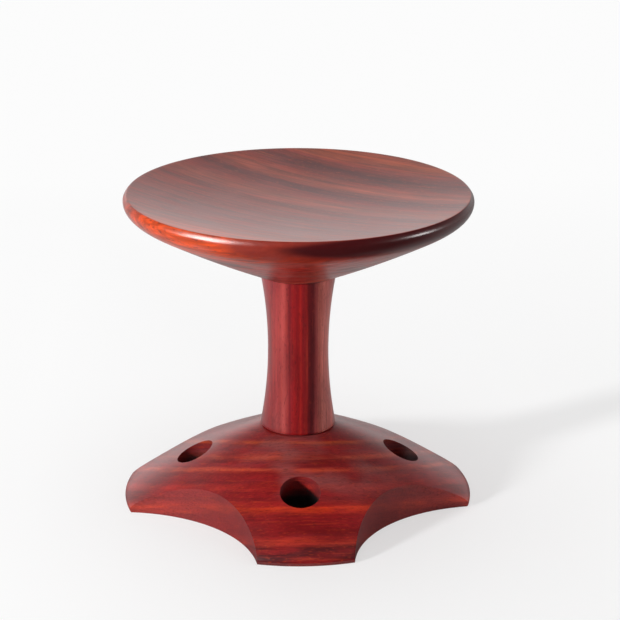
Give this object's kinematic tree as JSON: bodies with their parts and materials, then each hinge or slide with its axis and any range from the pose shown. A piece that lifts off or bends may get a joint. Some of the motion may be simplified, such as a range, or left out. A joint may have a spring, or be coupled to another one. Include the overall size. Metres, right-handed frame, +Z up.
{
  "type": "stool",
  "caption": "Round dished hardwood seat on a waisted turned column, on a low domed base with scalloped sides and a slanting bore through each foot.",
  "frame": {"origin": "on the floor under the stool's turning axis, at the middle of the base's footprint", "axes": "+Z up along the turning axis; one foot points to -Y, the front, and the other feet to +X, +Y and -X"},
  "size_m": [0.4408, 0.4408, 0.4],
  "materials": {
    "seat_wood": "satin gloss lacquer over red-brown hardwood, streaks at an angle",
    "column_wood": "satin gloss lacquer over red hardwood with upright dark stripes",
    "base_wood": "satin gloss lacquer over deep red hardwood with orange streaks",
    "wedge_wood": "bare split hardwood"
  },
  "bodies": {
    "root": {"seat": "seat_wood", "column": "column_wood", "base": "base_wood", "upper_wedge": "wedge_wood", "lower_wedge": "wedge_wood"}
  },
  "joints": []
}
